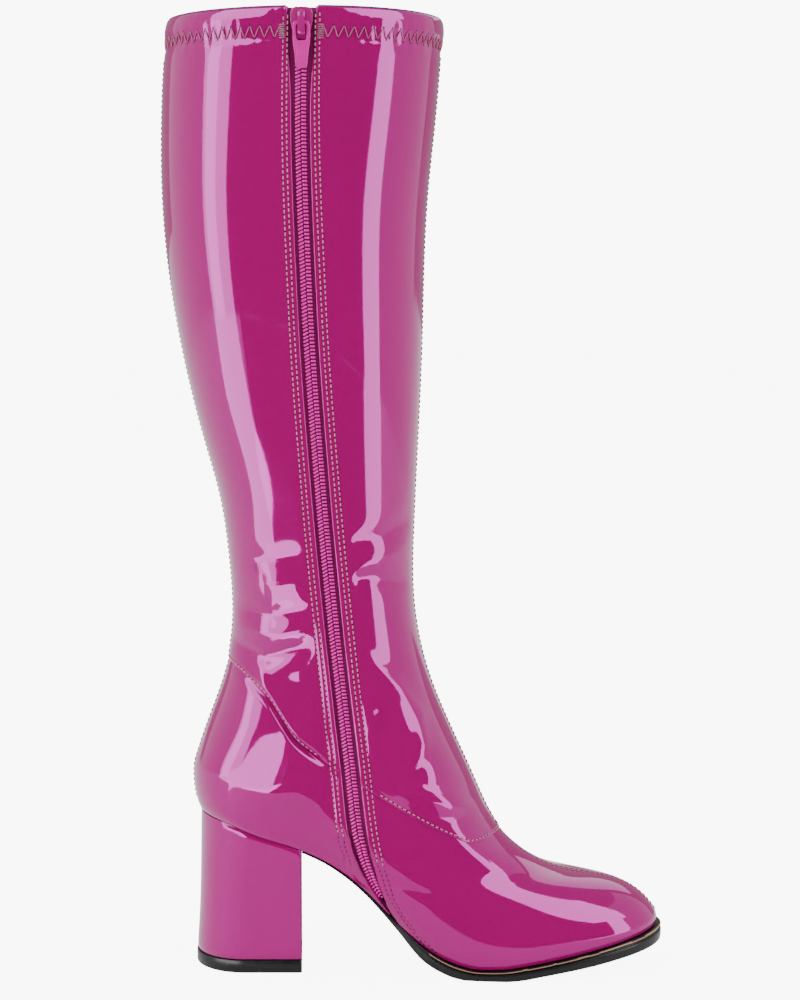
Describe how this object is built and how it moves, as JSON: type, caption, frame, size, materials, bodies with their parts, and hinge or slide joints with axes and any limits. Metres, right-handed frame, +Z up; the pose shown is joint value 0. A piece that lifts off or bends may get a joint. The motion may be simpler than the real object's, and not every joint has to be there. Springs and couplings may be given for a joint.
{
  "type": "knee-high go go boot, left",
  "caption": "Knee-high patent boot for the left foot, with a rounded toe, a covered block heel, a lipped black sole and a zip up the inner side.",
  "frame": {"origin": "centre of the heel's resting face, on the floor", "axes": "+X towards the toe, +Y towards the outer side of the foot, +Z up"},
  "size_m": [0.2471, 0.1101, 0.4641],
  "materials": {
    "patent": "fuchsia patent, mirror gloss coat",
    "black_rubber": "smooth black, semi-gloss",
    "lining": "woven, matt",
    "zip_pink": "nylon coil, satin",
    "zip_paint": "enamelled zip metal, satin"
  },
  "bodies": {
    "boot": {"upper": "patent", "heel": "patent", "heel_tip": "black_rubber", "outsole": "black_rubber", "insole": "lining", "zip_tape": "lining", "zip_coil_front": "zip_pink", "zip_coil_back": "zip_pink", "zip_slider": "zip_paint"},
    "pull": {"zip_pull": "zip_paint"}
  },
  "joints": [
    {"name": "pull_swing", "type": "hinge", "parent": "boot", "child": "pull", "pos_m": [0.02984, -0.05432, 0.4561], "axis": [-1, 0, 0], "range_deg": [0, 170]}
  ]
}
